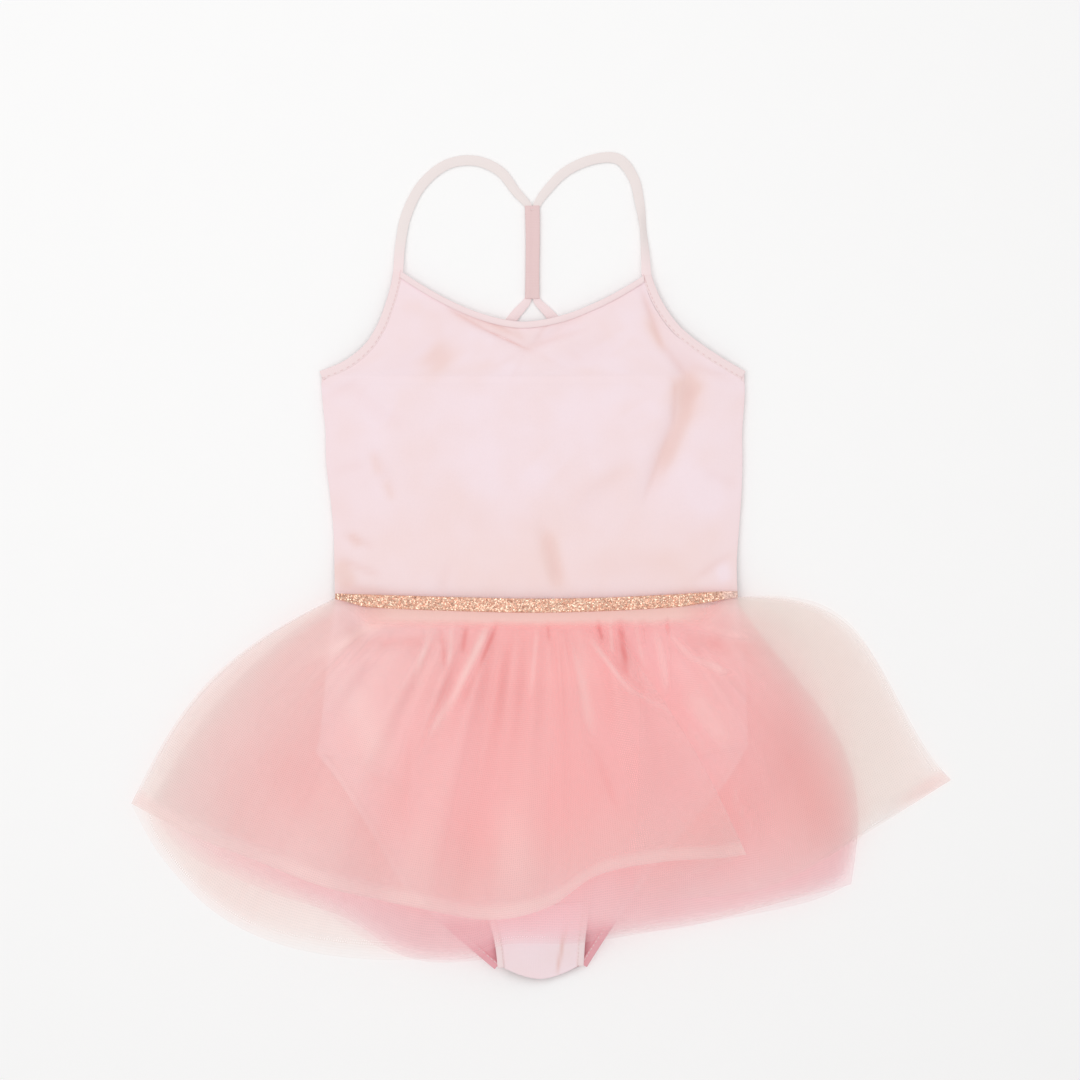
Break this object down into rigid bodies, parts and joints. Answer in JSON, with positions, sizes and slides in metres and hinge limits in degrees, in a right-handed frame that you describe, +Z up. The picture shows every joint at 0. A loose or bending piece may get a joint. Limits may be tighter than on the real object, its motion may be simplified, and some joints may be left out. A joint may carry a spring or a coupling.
{
  "type": "camisole dance leotard with tulle skirt",
  "caption": "child's camisole dance leotard with thin straps, a glitter waist ribbon and a gathered tulle skirt, laid flat front up",
  "frame": {"origin": "on the surface it lies on, in the middle of the garment's outline", "axes": "+X across the garment to the right of its front as seen from above, +Y from the crotch to the straps, +Z up"},
  "size_m": [0.5246, 0.5288, 0.0469],
  "materials": {
    "jersey": "fine matt stretch jersey, pale pink",
    "elastic_tape": "folded elastic binding tape, soft sheen",
    "glitter_ribbon": "rose gold glitter ribbon",
    "pale_tulle": "sheer ivory pink tulle",
    "pink_tulle": "sheer coral pink tulle"
  },
  "bodies": {
    "root": {"bodice_front": "jersey", "bodice_back": "jersey", "brief_front": "jersey", "brief_back": "jersey", "gusset": "jersey", "skirt_band_front": "jersey", "skirt_band_back": "jersey", "neck_binding": "elastic_tape", "back_binding": "elastic_tape", "armhole_binding_left": "elastic_tape", "armhole_binding_right": "elastic_tape", "leg_binding_front_left": "elastic_tape", "leg_binding_front_right": "elastic_tape", "leg_binding_back_left": "elastic_tape", "leg_binding_back_right": "elastic_tape", "strap_left": "elastic_tape", "strap_right": "elastic_tape", "centre_strap": "elastic_tape", "branch_left": "elastic_tape", "branch_right": "elastic_tape", "waist_ribbon_front": "glitter_ribbon", "waist_ribbon_back": "glitter_ribbon", "top_tulle_front": "pale_tulle", "top_tulle_back": "pale_tulle", "under_tulle_front": "pink_tulle", "under_tulle_back": "pink_tulle"}
  },
  "joints": []
}
